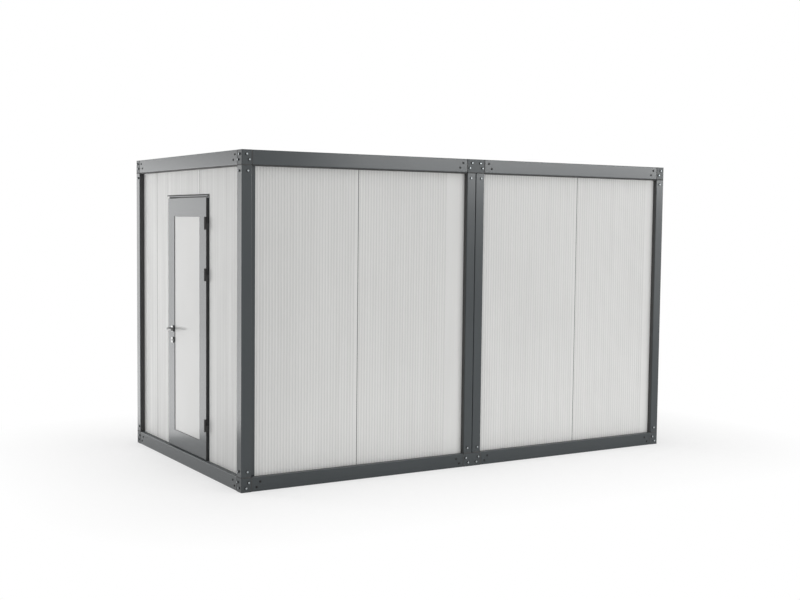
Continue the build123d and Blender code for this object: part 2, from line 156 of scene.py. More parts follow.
# Tints of the greys, the dust on the frame's upper faces, the strength of the rib shade painted as streaks on the
# end walls, the shade painted into the rib grooves, and the level past which the floor's noise is a fleck
COOL = (0.83, 1.0, 1.08)
NEUTRAL = (1.0, 1.0, 0.985)
DUST_COVER = 0.35
DUST_LEVEL = 0.3
DUST_ROUGHNESS = 0.4
END_PAINTED_RIB_SHADE = 1.8
GROOVE_PAINTED_SHADE = 0.34
FLECK_LIMIT = 0.58

# A face looks along an axis where its normal's share of that axis is past this
FACING_LIMIT = 0.7


class Wire:
    """One output socket. Arithmetic on wires adds Math nodes to their graph."""

    def __init__(self, graph, socket):
        self.graph = graph
        self.socket = socket

    def math(self, operation, first, second=0.0):
        """A Math node on numbers or wires."""
        return self.graph.node("ShaderNodeMath", {"operation": operation}, {0: first, 1: second})

    def __add__(self, other):
        return self.math("ADD", self, other)

    def __radd__(self, other):
        return self.math("ADD", other, self)

    def __sub__(self, other):
        return self.math("SUBTRACT", self, other)

    def __rsub__(self, other):
        return self.math("SUBTRACT", other, self)

    def __mul__(self, other):
        return self.math("MULTIPLY", self, other)

    def __rmul__(self, other):
        return self.math("MULTIPLY", other, self)

    def __gt__(self, other):
        return self.math("GREATER_THAN", self, other)

    def __lt__(self, other):
        return self.math("LESS_THAN", self, other)


class Graph:
    """A node tree whose nodes are added by one method."""

    def __init__(self, tree):
        self.tree = tree

    def node(self, kind, settings=None, sockets=None, output=0):
        """Add a node: its type, its settings, then the values or links of its sockets."""
        node = self.tree.nodes.new(kind)
        for name, value in (settings or {}).items():
            setattr(node, name, value)
        for key, value in (sockets or {}).items():
            if isinstance(value, Wire):
                self.tree.links.new(value.socket, node.inputs[key])
            else:
                node.inputs[key].default_value = value
        return Wire(self, node.outputs[output])

    def pick(self, wire, output):
        """Another output of the node that a wire comes from."""
        return Wire(self, wire.socket.node.outputs[output])


class Finish(Graph):
    """A surface finish: one Principled shader fed by patterns on Object coordinates."""

    def __init__(self, name, **constants):
        self.material = bpy.data.materials.new(name)
        self.material.use_nodes = True
        super().__init__(self.material.node_tree)
        self.tree.nodes.clear()
        self.shader = self.tree.nodes.new("ShaderNodeBsdfPrincipled")
        output = self.tree.nodes.new("ShaderNodeOutputMaterial")
        self.tree.links.new(self.shader.outputs[0], output.inputs["Surface"])
        self.place = self.node("ShaderNodeTexCoord", output="Object")
        self.set(**constants)

    def set(self, **values):
        """Set or link sockets of the shader, named with _ for each space."""
        for name, value in values.items():
            socket = self.shader.inputs[name.replace("_", " ")]
            if isinstance(value, Wire):
                self.tree.links.new(value.socket, socket)
            else:
                socket.default_value = value

    def stretched(self, scale):
        """Object coordinates, scaled along each axis."""
        return self.node("ShaderNodeMapping", {}, {"Vector": self.place, "Scale": scale})

    def noise(self, size, detail=3.0, stretch=(1, 1, 1)):
        """Noise from 0 to 1 with features of about one size, drawn out along an axis."""
        return self.node(
            "ShaderNodeTexNoise", {},
            {"Vector": self.stretched(stretch), "Scale": 1 / size, "Detail": detail},
        )

    def blend(self, factor, first, second):
        """A mix of two colours."""
        return self.node(
            "ShaderNodeMix", {"data_type": "RGBA"}, {0: factor, 6: first, 7: second}, output=2
        )

    def bump(self, height, distance, strength=1.0):
        """The surface normal that a pattern of heights gives."""
        return self.node(
            "ShaderNodeBump", {}, {"Height": height, "Distance": distance, "Strength": strength}
        )

    def facing(self, axis):
        """How far the surface looks along an axis, from -1 to 1."""
        normal = self.node("ShaderNodeTexCoord", output="Normal")
        return self.node("ShaderNodeSeparateXYZ", {}, {0: normal}, output=axis)

    def facing_up(self):
        """1 on faces that look upwards, 0 elsewhere."""
        return self.facing("Z") > FACING_LIMIT

    def facing_down(self):
        """1 on faces that look downwards, 0 elsewhere."""
        return self.facing("Z") < -FACING_LIMIT

    def facing_ends(self):
        """1 on faces that look towards either end of the cabin, 0 elsewhere."""
        way = self.facing("X")
        return way.math("ABSOLUTE", way) > FACING_LIMIT

    def around(self, level, *spreads):
        """A level that drifts with patterns, each paired with the width of its drift."""
        for pattern, width in spreads:
            level = level + (pattern - 0.5) * width
        return level


def grey(level, tint=(1.0, 1.0, 1.0)):
    """A grey of one level, slightly tinted."""
    return tuple(level * share for share in tint) + (1.0,)


def powder_coat(name, dark, light, roughness):
    """Anthracite powder coat: slow shade drift, orange-peel skin and a little settled dust."""
    finish = Finish(name)
    drift = finish.noise(size=0.55, detail=2.0)
    peel = finish.noise(size=0.0022, detail=2.0)
    dust = finish.noise(size=0.03, detail=5.0)
    base = finish.blend(drift, grey(dark, COOL), grey(light, COOL))
    settled = finish.facing_up()
    finish.set(
        Base_Color=finish.blend(settled * dust * DUST_COVER, base, grey(DUST_LEVEL)),
        Roughness=finish.around(roughness, (drift, 0.05), (dust, 0.02)) + settled * DUST_ROUGHNESS,
        Normal=finish.bump(peel, distance=0.00004, strength=0.2),
    )
    return finish.material


def rib_grooves(finish):
    """1 in the shallow grooves of the outer wall faces, 0 elsewhere."""
    grooves = 0.0
    for axis, half in (("X", LENGTH / 2), ("Y", WIDTH / 2)):
        place = finish.node("ShaderNodeSeparateXYZ", {}, {0: finish.place}, output=axis)
        reach = place.math("ABSOLUTE", place)
        face = half - RECESS
        grooves = grooves + (reach < face - GROOVE_TOP) * (reach > face - GROOVE_FLOOR)
    return grooves


def coil_coat():
    """Pale coil-coated sheet: faint streaks up it, shade painted into the grooves, and rib shade and reflection
    painted as streaks on the end walls.
    """
    finish = Finish("wall_panel_coil_coat", Specular_IOR_Level=0.12)
    streak = finish.noise(size=0.03, detail=3.0, stretch=(1, 0.3, 0.02))
    end_painted_rib_shade = finish.noise(size=0.04, detail=2.0, stretch=(1, 1, 0.02)) - 0.5
    drift = finish.noise(size=0.7, detail=2.0)
    skin = finish.noise(size=0.0015, detail=2.0)
    # Painted shade: the rib grooves are darkened, and the end walls get stronger streaks that stand in for the
    # shading and reflection of their ribs.
    lightness = streak * 0.6 + drift * 0.4 + end_painted_rib_shade * finish.facing_ends() * END_PAINTED_RIB_SHADE
    shade = finish.blend(lightness, grey(0.65, NEUTRAL), grey(0.82, NEUTRAL))
    finish.set(
        Base_Color=finish.blend(rib_grooves(finish) * GROOVE_PAINTED_SHADE, shade, grey(0.5, NEUTRAL)),
        Roughness=finish.around(0.38, (streak, 0.06), (drift, 0.06)),
        Normal=finish.bump(skin, distance=0.00003, strength=0.3),
    )
    return finish.material


def infill_gloss():
    """Smooth glossy sheet in the door leaf."""
    finish = Finish("door_infill_gloss", Specular_IOR_Level=0.24)
    drift = finish.noise(size=0.5, detail=2.0)
    smear = finish.noise(size=0.06, detail=4.0)
    finish.set(
        Base_Color=finish.blend(drift, grey(0.51, NEUTRAL), grey(0.56, NEUTRAL)),
        Roughness=finish.around(0.2, (smear, 0.08)),
        Normal=finish.bump(drift, distance=0.002, strength=0.25),
    )
    return finish.material


def roof_coat():
    """Light grey roof sheet with faint weather marks, and a white ceiling under it."""
    finish = Finish("roof_sheet_coat", Specular_IOR_Level=0.2)
    drift = finish.noise(size=0.4, detail=3.0)
    marks = finish.noise(size=0.05, detail=5.0)
    weathered = finish.blend(drift * 0.6 + marks * 0.4, grey(0.42), grey(0.54))
    ceiling = finish.blend(drift, grey(0.70, NEUTRAL), grey(0.76, NEUTRAL))
    finish.set(
        Base_Color=finish.blend(finish.facing_down(), weathered, ceiling),
        Roughness=finish.around(0.55, (marks, 0.2)),
        Normal=finish.bump(marks, distance=0.0003, strength=0.3),
    )
    return finish.material


def deck_vinyl():
    """Grey speckled vinyl on top of the floor deck, zinc sheet on its underside."""
    finish = Finish("floor_deck_vinyl")
    fleck = finish.noise(size=0.004, detail=2.0)
    drift = finish.noise(size=0.5, detail=2.0)
    vinyl = finish.blend(fleck > FLECK_LIMIT, grey(0.24, COOL), grey(0.36))
    zinc = finish.blend(drift, grey(0.42), grey(0.5))
    finish.set(
        Base_Color=finish.blend(finish.facing_up(), zinc, vinyl),
        Roughness=finish.around(0.45, (drift, 0.15)),
        Normal=finish.bump(fleck, distance=0.0002, strength=0.4),
    )
    return finish.material


def hinge_enamel():
    """Black enamel with a fine texture."""
    finish = Finish("hinge_black_enamel")
    skin = finish.noise(size=0.0012, detail=3.0)
    finish.set(
        Base_Color=finish.blend(skin, grey(0.03), grey(0.045)),
        Roughness=finish.around(0.42, (skin, 0.2)),
        Normal=finish.bump(skin, distance=0.00008, strength=0.6),
    )
    return finish.material


def polished_steel():
    """Steel of the roses and the lock: polished grey faces, and sides painted near black as shade."""
    finish = Finish("rose_polished_steel", Metallic=1.0)
    cloud = finish.noise(size=0.01, detail=2.0)
    face = finish.blend(cloud, grey(0.34), grey(0.4))
    # The sides are painted near black as shade; the faces keep a steel grey.
    painted_shade_rim = finish.blend(cloud, grey(0.045), grey(0.06))
    finish.set(
        Base_Color=finish.blend(finish.facing_ends(), painted_shade_rim, face),
        Roughness=0.24 + cloud * 0.1,
    )
    return finish.material


def satin_steel():
    """Satin stainless steel, brushed along the lever."""
    finish = Finish("handle_satin_steel", Metallic=1.0)
    brush = finish.noise(size=0.0008, detail=3.0, stretch=(1, 0.06, 1))
    drift = finish.noise(size=0.03, detail=2.0)
    finish.set(
        Base_Color=finish.blend(drift, grey(0.16), grey(0.21)),
        Roughness=0.26 + brush * 0.14,
        Normal=finish.bump(brush, distance=0.00002, strength=0.5),
    )
    return finish.material


def zinc_plate():
    """Clouded zinc plating on the bolt heads."""
    finish = Finish("bolt_zinc_plate", Metallic=1.0)
    cloud = finish.noise(size=0.006, detail=3.0)
    finish.set(
        Base_Color=finish.blend(cloud, grey(0.31, COOL), grey(0.43)),
        Roughness=finish.around(0.34, (cloud, 0.2)),
    )
    return finish.material


def black_oxide():
    """Blackened washers and rail bolts; round the zinc bolt heads the washers' black also stands in for the shade
    of the holes they sit in.
    """
    finish = Finish("washer_black_oxide", Specular_IOR_Level=0.2)
    cloud = finish.noise(size=0.004, detail=3.0)
    finish.set(
        Base_Color=finish.blend(cloud, grey(0.014), grey(0.03)),
        Roughness=finish.around(0.62, (cloud, 0.2)),
    )
    return finish.material


def seal_rubber(name, dark, light):
    """Rubber with a dull, slightly dusty skin."""
    finish = Finish(name, Specular_IOR_Level=0.2)
    dust = finish.noise(size=0.012, detail=4.0)
    finish.set(
        Base_Color=finish.blend(dust, grey(dark), grey(light)),
        Roughness=finish.around(0.62, (dust, 0.3)),
        Normal=finish.bump(dust, distance=0.0002, strength=0.3),
    )
    return finish.material


FRAME_COAT = powder_coat("frame_powder_coat", 0.044, 0.052, 0.23)
BLOCK_COAT = powder_coat("block_powder_coat", 0.04, 0.048, 0.4)
DOOR_COAT = powder_coat("door_powder_coat", 0.044, 0.052, 0.23)
WALL_COAT = coil_coat()
INFILL = infill_gloss()
ROOF = roof_coat()
DECK = deck_vinyl()
HINGE = hinge_enamel()
STEEL = satin_steel()
POLISHED = polished_steel()
ZINC = zinc_plate()
OXIDE = black_oxide()
RUBBER = seal_rubber("seal_black_rubber", 0.055, 0.075)
GASKET = seal_rubber("gasket_grey_rubber", 0.05, 0.07)

SLOT_FINISHES = {
    "frame_paint": FRAME_COAT,
    "wall_panel": WALL_COAT,
    "roof_sheet": ROOF,
    "floor_deck": DECK,
    "door_metal": DOOR_COAT,
    "door_infill": INFILL,
    "hinge_black": HINGE,
    "handle_steel": STEEL,
    "seal_rubber": RUBBER,
}

# Nodes that differ a little from the rest of their slot
NODE_FINISHES = {
    "bottom_corner_blocks": BLOCK_COAT,
    "top_corner_blocks": BLOCK_COAT,
    "bottom_joint_blocks": BLOCK_COAT,
    "top_joint_blocks": BLOCK_COAT,
    "handle_roses": POLISHED,
    "lock_cylinder": POLISHED,
}


def dress_cad_nodes():
    """Give every CAD node its own finish, or else the finish of its record slot."""
    for entry in frame["record"]["subparts"]:
        name = entry["node"]
        finish = NODE_FINISHES.get(name, SLOT_FINISHES[entry["material_slot"]])
        nodes[name].data.materials.clear()
        nodes[name].data.materials.append(finish)


class Wall:
    """One wall seen from outside: its left end, the way along it and the way out of it."""

    def __init__(self, corner, along, out, run):
        self.corner = Vector(corner)
        self.along = Vector(along)
        self.out = Vector(out)
        self.run = run

    def point(self, along, height, depth=0.0):
        """A point along the wall, up it and in from its outer face."""
        return self.corner + self.along * along - self.out * depth + Vector((0, 0, height))

    def bays(self):
        """(start, end) of each clear span between posts."""
        if self.run != LENGTH:
            return ((POST, self.run - POST),)
        middle = self.run / 2
        reach = JOINT_GAP / 2 + POST
        return ((POST, middle - reach), (middle + reach, self.run - POST))

    def corners(self):
        """(edge, way) of each module corner: the edge's place and the way inwards from it."""
        ends = [(0.0, 1), (self.run, -1)]
        if self.run == LENGTH:
            middle = self.run / 2
            ends += [(middle + JOINT_GAP / 2, 1), (middle - JOINT_GAP / 2, -1)]
        return ends


X0, Y0 = blocks_low.x, blocks_low.y
X1, Y1 = blocks_high.x, blocks_high.y
UP = Vector((0, 0, 1))
FRONT = Wall((X0, Y0, 0), (1, 0, 0), (0, -1, 0), LENGTH)
FAR_END = Wall((X1, Y0, 0), (0, 1, 0), (1, 0, 0), WIDTH)
BACK = Wall((X1, Y1, 0), (-1, 0, 0), (0, 1, 0), LENGTH)
DOOR_END = Wall((X0, Y1, 0), (0, -1, 0), (-1, 0, 0), WIDTH)
WALLS = (FRONT, FAR_END, BACK, DOOR_END)

# The front roof rail carries no bolts at its door end
BARE_RAIL_END = (FRONT, 0.0, HEIGHT)


def as_piece(name, mesh, body, finish=None):
    """A finished mesh as a piece that rides on a body."""
    mesh.name = name
    piece = bpy.data.objects.new(name, mesh)
    bpy.context.scene.collection.objects.link(piece)
    if finish:
        mesh.materials.clear()
        mesh.materials.append(finish)
    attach(piece, body)
    return piece


def as_mesh(name, shape):
    """A bmesh as a plain mesh. The bmesh is freed."""
    mesh = bpy.data.meshes.new(name)
    shape.to_mesh(mesh)
    shape.free()
    return mesh


def shaped_piece(name, shape, body, finish):
    """A bmesh as a piece, with its faces turned outwards."""
    bmesh.ops.recalc_face_normals(shape, faces=shape.faces[:])
    return as_piece(name, as_mesh(name, shape), body, finish)


def work_object(name, mesh):
    """An object that only carries a modifier, or cuts for one, until its result is kept."""
    item = bpy.data.objects.new(name, mesh)
    bpy.context.scene.collection.objects.link(item)
    return item


def kept_result(item):
    """The plain mesh that an object's modifiers make. The object is removed with them."""
    evaluated = item.evaluated_get(bpy.context.evaluated_depsgraph_get())
    mesh = bpy.data.meshes.new_from_object(evaluated)
    bpy.data.objects.remove(item)
    return mesh


FASTENER_SIZES = (
    ("Washer Radius", "NodeSocketFloat"), ("Washer Height", "NodeSocketFloat"),
    ("Head Sides", "NodeSocketInt"), ("Head Radius", "NodeSocketFloat"),
    ("Head Height", "NodeSocketFloat"), ("Crown Height", "NodeSocketFloat"),
)
FASTENER_FINISHES = (
    ("Washer Finish", "NodeSocketMaterial"), ("Head Finish", "NodeSocketMaterial"),
)


def fastener_tree():
    """Geometry nodes: a washer and a crowned head on every point, turned to its way out."""
    tree = bpy.data.node_groups.new("fasteners", "GeometryNodeTree")
    sockets = {}
    for name, kind in (("Places", "NodeSocketGeometry"),) + FASTENER_SIZES + FASTENER_FINISHES:
        sockets[name] = tree.interface.new_socket(name, in_out="INPUT", socket_type=kind)
    tree.interface.new_socket("Fasteners", in_out="OUTPUT", socket_type="NodeSocketGeometry")
    graph = Graph(tree)
    places = graph.node("NodeGroupInput")
    size = {name: graph.pick(places, name) for name in sockets}

    def cone(sides, bottom, top, depth):
        return graph.node(
            "GeometryNodeMeshCone", {},
            {"Vertices": sides, "Radius Top": top, "Radius Bottom": bottom, "Depth": depth},
        )

    def raised(mesh, lift):
        offset = graph.node("ShaderNodeCombineXYZ", {}, {"Z": lift})
        return graph.node("GeometryNodeTransform", {}, {"Geometry": mesh, "Translation": offset})

    def joined(*meshes):
        group = graph.node("GeometryNodeJoinGeometry")
        for mesh in meshes:
            tree.links.new(mesh.socket, group.socket.node.inputs[0])
        return group

    def marked(mesh):
        return graph.node(
            "GeometryNodeStoreNamedAttribute", {"data_type": "BOOLEAN", "domain": "FACE"},
            {"Geometry": mesh, "Name": "head", "Value": True},
        )

    washer_radius, head_radius = size["Washer Radius"], size["Head Radius"]
    washer_height, head_height = size["Washer Height"], size["Head Height"]
    sides = size["Head Sides"]
    washer = cone(WASHER_SIDES, washer_radius, washer_radius * WASHER_TAPER, washer_height)
    shank = cone(sides, head_radius, head_radius, head_height)
    crown = cone(sides, head_radius, head_radius * CROWN_TAPER, size["Crown Height"])
    body = joined(washer, raised(shank, washer_height))
    head = marked(raised(crown, washer_height + head_height))
    outward = graph.node(
        "GeometryNodeInputNamedAttribute", {"data_type": "FLOAT_VECTOR"}, {"Name": "outward"}
    )
    turn = graph.node("FunctionNodeAlignRotationToVector", {"axis": "Z"}, {"Vector": outward})
    placed = graph.node(
        "GeometryNodeInstanceOnPoints", {},
        {"Points": places, "Instance": joined(body, head), "Rotation": turn},
    )
    solid = graph.node("GeometryNodeRealizeInstances", {}, {"Geometry": placed})
    is_head = graph.node(
        "GeometryNodeInputNamedAttribute", {"data_type": "BOOLEAN"}, {"Name": "head"}
    )
    dark = graph.node(
        "GeometryNodeSetMaterial", {}, {"Geometry": solid, "Material": size["Washer Finish"]}
    )
    dressed = graph.node(
        "GeometryNodeSetMaterial", {},
        {"Geometry": dark, "Selection": is_head, "Material": size["Head Finish"]},
    )
    output = tree.nodes.new("NodeGroupOutput")
    tree.links.new(dressed.socket, output.inputs[0])
    return tree, {name: socket.identifier for name, socket in sockets.items()}


FASTENER_TREE, FASTENER_INPUTS = fastener_tree()


def fasteners(name, places, sizes, body, washer_finish, head_finish):
    """Fasteners at (point, outward) places, made by the tree and kept as one plain mesh."""
    mesh = bpy.data.meshes.new(name + "_places")
    mesh.from_pydata([point for point, out in places], [], [])
    outward = mesh.attributes.new("outward", "FLOAT_VECTOR", "POINT")
    for number, (point, out) in enumerate(places):
        outward.data[number].vector = out
    seed = work_object(name + "_places", mesh)
    modifier = seed.modifiers.new("fasteners", "NODES")
    modifier.node_group = FASTENER_TREE
    values = sizes + (washer_finish, head_finish)
    for (label, kind), value in zip(FASTENER_SIZES + FASTENER_FINISHES, values):
        modifier[FASTENER_INPUTS[label]] = value
    return as_piece(name, kept_result(seed), body)


def frame_bolts():
    """Zinc bolts on blocks and posts, and black ones on the rail ends, on all four walls."""
    zinc = []
    black = []
    for wall in WALLS:
        for edge, way in wall.corners():
            for level, up in ((0.0, 1), (HEIGHT, -1)):
                block_height = FLOOR_RAIL if up > 0 else HEIGHT - WALL_TOP
                for along, lift in BLOCK_BOLTS:
                    zinc.append((wall.point(edge + way * along, level + up * lift), wall.out))
                if (wall, edge, level) != BARE_RAIL_END:
                    for along, lift in RAIL_BOLTS:
                        reach = POST + along
                        black.append((wall.point(edge + way * reach, level + up * lift), wall.out))
                along, lift = POST_BOLT
                height = level + up * (block_height + lift)
                zinc.append((wall.point(edge + way * along, height), wall.out))
    # The black washers round the zinc heads are partly painted shade, standing in for the shaded holes round the
    # heads.
    fasteners("frame_bolts_zinc", zinc, FRAME_BOLT, "cabin", OXIDE, ZINC)
    fasteners("rail_bolts_black", black, RAIL_BOLT, "cabin", OXIDE, OXIDE)


def prism(shape, outline, place, across, inwards, run):
    """Add an outline, in (across, inwards) pairs, drawn out along a run."""
    rings = []
    for shift in (Vector((0, 0, 0)), run):
        corners = [place + across * u + inwards * v + shift for u, v in outline]
        rings.append([shape.verts.new(corner) for corner in corners])
    start, end = rings
    count = len(outline)
    shape.faces.new(start)
    shape.faces.new(reversed(end))
    for number in range(count):
        following = (number + 1) % count
        shape.faces.new((start[number], end[number], end[following], start[following]))


def mitred_ring(shape, outline, low, high, depth, way):
    """Add an outline, in (inwards, depthwise) pairs, round a rectangle of the door end."""
    (left, bottom), (right, top) = low, high
    rings = []
    for u, v in outline:
        corners = (
            (left + u, bottom + u), (right - u, bottom + u), (right - u, top - u), (left + u, top - u),
        )
        rings.append([
            shape.verts.new(DOOR_END.point(along, height, depth + way * v))
            for along, height in corners
        ])
    for number, ring in enumerate(rings):
        following = rings[(number + 1) % len(rings)]
        for side in range(len(ring)):
            turn = (side + 1) % len(ring)
            shape.faces.new((ring[side], ring[turn], following[turn], following[side]))


def lip_outline(thickness, depth):
    """A strip section that lies flat on its back and has a round lip at its outer end."""
    angles = [pi / 2 * step / LIP_STEPS for step in range(LIP_STEPS + 1)]
    lip = [(thickness * sin(angle), thickness * (1 - cos(angle))) for angle in angles]
    return lip + [(thickness, depth), (0.0, depth)]


def bead_outline(width, proud):
    """A half-round bead that stands up from a flat seat."""
    angles = [pi * step / BEAD_STEPS for step in range(BEAD_STEPS + 1)]
    return [(width / 2 * (1 - cos(angle)), -proud * sin(angle)) for angle in angles]


def return_rubber_and_shade():
    """Black rubber on the returns of the posts and under the roof rails, where the panels meet them; its black
    also stands in for the shade there.
    """
    strips = bmesh.new()
    outline = lip_outline(RETURN_SHADE_SEAL, RECESS - RETURN_SHADE_SEAL_START)
    top_outline = lip_outline(TOP_SEAL, RECESS - RETURN_SHADE_SEAL_START)
    run = UP * (WALL_TOP - FLOOR_RAIL)
    for wall in WALLS:
        for edge, way in wall.corners():
            place = wall.point(edge + way * POST, FLOOR_RAIL, RETURN_SHADE_SEAL_START)
            prism(strips, outline, place, wall.along * way, -wall.out, run)
        for start, end in wall.bays():
            place = wall.point(start + RETURN_SHADE_SEAL, WALL_TOP, RETURN_SHADE_SEAL_START)
            span = wall.along * (end - start - 2 * RETURN_SHADE_SEAL)
            prism(strips, top_outline, place, -UP, -wall.out, span)
    # The strips are black partly as painted shade in the returns and under the rails.
    shaped_piece("panel_return_rubber_and_shade", strips, "cabin", RUBBER)


# The door's pieces, and the lever over the lock
stile_low, stile_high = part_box("door_leaf_stiles")
crossbar_low, crossbar_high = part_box("door_leaf_rails")
infill_low, infill_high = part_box("door_leaf_infill")
threshold_low, threshold_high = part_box("door_threshold")
head_low, head_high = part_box("door_frame_head")
cylinder_low, cylinder_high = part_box("lock_cylinder")
lever_low, lever_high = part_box("lever_handles")


def along_door_end(y):
    """A place on the door end, measured along it from its left end."""
    return Y1 - y


def depth_of(x):
    """How far a place lies inwards from the door end's outer face."""
    return x - X0


def door_seals():
    """Rubber on the leaf's hinge edge, round its infill on both faces and on the frame's stops."""
    edge = bmesh.new()
    thickness = stile_high.x - stile_low.x
    place = Vector((stile_low.x + LEAF_SEAL_INSET, stile_low.y, stile_low.z))
    outline = lip_outline(LEAF_SEAL, thickness - 2 * LEAF_SEAL_INSET)
    prism(edge, outline, place, DOOR_END.along, -DOOR_END.out, UP * (stile_high.z - stile_low.z))
    shaped_piece("leaf_edge_seal", edge, "door", RUBBER)

    reach = (infill_high.y - infill_low.y - (crossbar_high.y - crossbar_low.y)) / 2
    low = (along_door_end(crossbar_high.y), infill_low.z + reach)
    high = (along_door_end(crossbar_low.y), infill_high.z - reach)
    glazing = bmesh.new()
    for face, sheet, way in ((stile_low.x, infill_low.x, 1), (stile_high.x, infill_high.x, -1)):
        outline = lip_outline(GLAZING_SEAL, abs(sheet - face) - GLAZING_SEAL_START)
        mitred_ring(glazing, outline, low, high, depth_of(face) + way * GLAZING_SEAL_START, way)
    shaped_piece("infill_glazing_seals", glazing, "door", RUBBER)

    margin = STOP_SEAL_WIDTH + STOP_SEAL_MARGIN
    low = (along_door_end(threshold_high.y) - margin, threshold_high.z - margin)
    high = (along_door_end(threshold_low.y) + margin, head_low.z + margin)
    stops = bmesh.new()
    outline = bead_outline(STOP_SEAL_WIDTH, STOP_SEAL)
    mitred_ring(stops, outline, low, high, depth_of(threshold_low.x), 1)
    shaped_piece("frame_stop_seals", stops, "cabin", RUBBER)


def head_rubber_and_shade():
    """Rubber on the door frame's head: a rain bead above it, and a lip over the leaf and a leg, black strips
    painted as the shadow gaps round the leaf; the bead's black also stands in for the shade over the head.
    """
    seal = bmesh.new()
    across = DOOR_END.along * (head_high.y - head_low.y)
    overhang = DOOR_END.along * HEAD_SEAL_OVERHANG
    above = Vector((X0 + RECESS, head_high.y, head_high.z)) - overhang
    rain_bead = bead_outline(HEAD_SEAL_WIDTH, HEAD_SEAL)
    prism(seal, rain_bead, above, UP, -DOOR_END.out, across + overhang)
    face = Vector((head_low.x, head_high.y, head_high.z - HEAD_FACE))
    # The lip and the leg are black strips painted where the shadow gaps round the leaf fall.
    prism(seal, bead_outline(HEAD_SHADE_LIP, HEAD_SHADE_LIP_PROUD), face, UP, -DOOR_END.out, across)
    leg = [(0.0, 0.0), (HEAD_FACE, 0.0), (HEAD_FACE, -HEAD_SHADE_LIP_PROUD), (0.0, -HEAD_SHADE_LIP_PROUD)]
    run = DOOR_END.along * HEAD_SHADE_LEG
    prism(seal, leg, face + across - run, UP, -DOOR_END.out, run)
    shaped_piece("frame_head_rubber_and_shade", seal, "cabin", RUBBER)


def seam_sealant():
    """Dark sealant beads over the seams where the rails and posts meet the blocks."""
    beads = bmesh.new()
    rail_bead = bead_outline(RAIL_BEAD, BEAD_PROUD)
    post_bead = bead_outline(POST_BEAD, BEAD_PROUD)
    for wall in WALLS:
        for start, end in wall.bays():
            for seam in (start + SEAM / 2, end - SEAM / 2):
                for low, high in ((0.0, FLOOR_RAIL), (WALL_TOP, HEIGHT)):
                    place = wall.point(seam - RAIL_BEAD / 2, low + BEAD_INSET)
                    run = UP * (high - low - 2 * BEAD_INSET)
                    prism(beads, rail_bead, place, wall.along, -wall.out, run)
        for edge, way in wall.corners():
            for seam in (FLOOR_RAIL + SEAM / 2, WALL_TOP - SEAM / 2):
                place = wall.point(edge + way * BEAD_INSET, seam - POST_BEAD / 2)
                run = wall.along * way * (POST - 2 * BEAD_INSET)
                prism(beads, post_bead, place, UP, -wall.out, run)
    shaped_piece("frame_seam_sealant", beads, "cabin", RUBBER)


def joint_gaskets():
    """Grey gaskets in the reveals between the wall panels."""
    full = (FLOOR_RAIL, WALL_TOP)
    over_door = (head_high.z + HEAD_SEAL_WIDTH, WALL_TOP)
    long_joints = [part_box(f"front_wall_panel_{number}")[0].x - X0 for number in (2, 4)]
    end_left = along_door_end(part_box("door_end_lock_side_panel")[1].y)
    end_right = END_RIGHT_JOINT + PANEL_REVEAL / 2
    places = [(wall, joint, full) for wall in (FRONT, BACK) for joint in long_joints]
    places += [(FAR_END, end_left, full), (FAR_END, end_right, full)]
    places += [(DOOR_END, end_left, full), (DOOR_END, end_right, over_door)]
    strips = bmesh.new()
    outline = bead_outline(GASKET_WIDTH, GASKET_PROUD)
    for wall, joint, (bottom, top) in places:
        place = wall.point(joint - (PANEL_REVEAL + GASKET_WIDTH) / 2, bottom, RECESS)
        prism(strips, outline, place, wall.along, -wall.out, UP * (top - bottom))
    shaped_piece("panel_joint_gaskets", strips, "cabin", GASKET)


def hinge_levels(name):
    """The different heights of a hinge node's faces, from the lowest up."""
    heights = [vertex.co.z for vertex in nodes[name].data.vertices]
    return sorted({round(height, HINGE_LEVEL_DIGITS) for height in heights})


def wing_thickness(wing_edge):
    """How far the hinge wings stand out from the leaf, read from the faces at their edge."""
    vertices = nodes["hinge_leaf_halves"].data.vertices
    edge = [vertex.co.x for vertex in vertices if vertex.co.y > wing_edge - MM]
    return max(edge) - min(edge)


def turned_cap(shape, centre, barrel, way):
    """Add a shallow dome on the end of a hinge barrel."""
    turns = [2 * pi * side / HINGE_CAP_SIDES for side in range(HINGE_CAP_SIDES)]
    rings = []
    for step in range(HINGE_CAP_STEPS):
        angle = pi / 2 * step / HINGE_CAP_STEPS
        radius, lift = barrel * cos(angle), way * HINGE_CAP * sin(angle)
        rings.append([
            shape.verts.new(centre + Vector((radius * cos(turn), radius * sin(turn), lift)))
            for turn in turns
        ])
    for ring, following in zip(rings, rings[1:]):
        for side in range(HINGE_CAP_SIDES):
            turn = (side + 1) % HINGE_CAP_SIDES
            shape.faces.new((ring[side], ring[turn], following[turn], following[side]))
    shape.faces.new(rings[0])
    shape.faces.new(rings[-1])


